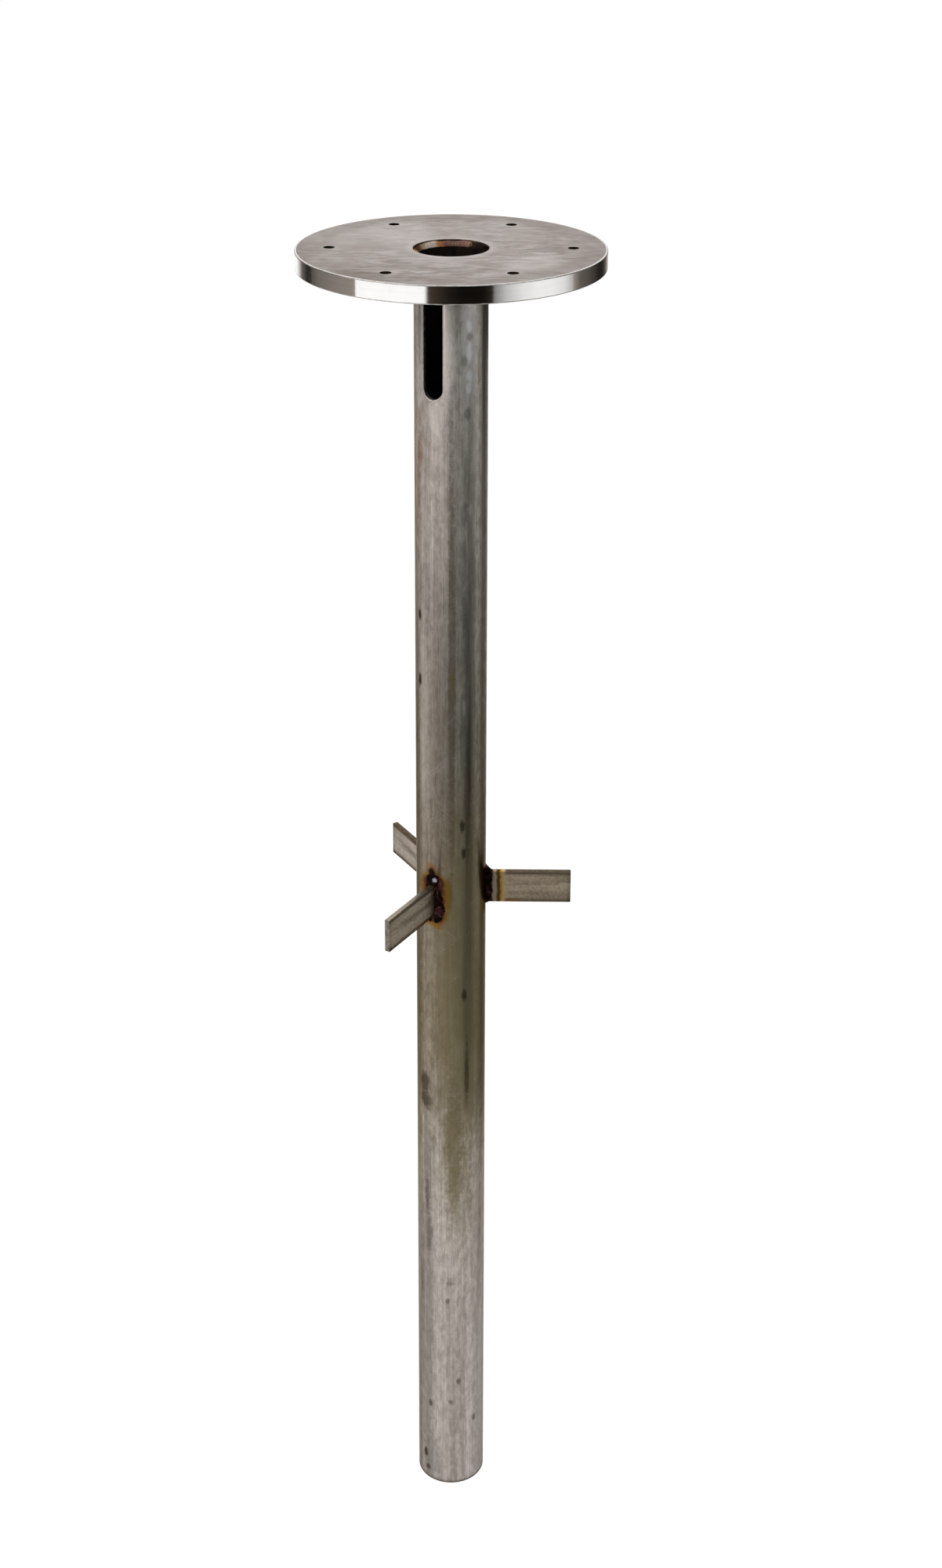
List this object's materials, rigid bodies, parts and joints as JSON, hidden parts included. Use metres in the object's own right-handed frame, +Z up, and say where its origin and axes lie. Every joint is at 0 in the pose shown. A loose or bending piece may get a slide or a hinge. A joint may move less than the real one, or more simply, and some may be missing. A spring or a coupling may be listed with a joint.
{
  "type": "flanged steel ground post",
  "caption": "Round steel flange with a centre bore and tapped holes on a long slotted tube; flat lugs welded round the tube's middle key it into a concrete footing.",
  "frame": {"origin": "centre of the flange's top face, on the tube's axis", "axes": "+Z up along the tube's axis, out of the flange's top face; the cable slot, one flange hole and the front lug face -Y"},
  "size_m": [0.2, 0.2, 0.944],
  "materials": {
    "flange_steel": "faced top, turned rim",
    "tube_steel": "drawn pipe, stained",
    "lug_steel": "rolled flat bar",
    "weld_metal": "as welded, heat tinted"
  },
  "bodies": {
    "root": {"flange_plate": "flange_steel", "post_tube": "tube_steel", "flange_weld_top": "weld_metal", "flange_weld_under": "weld_metal", "anchor_lug_front": "lug_steel", "anchor_lug_right": "lug_steel", "anchor_lug_left": "lug_steel", "lug_weld_front": "weld_metal", "lug_weld_right": "weld_metal", "lug_weld_left": "weld_metal"}
  },
  "joints": []
}
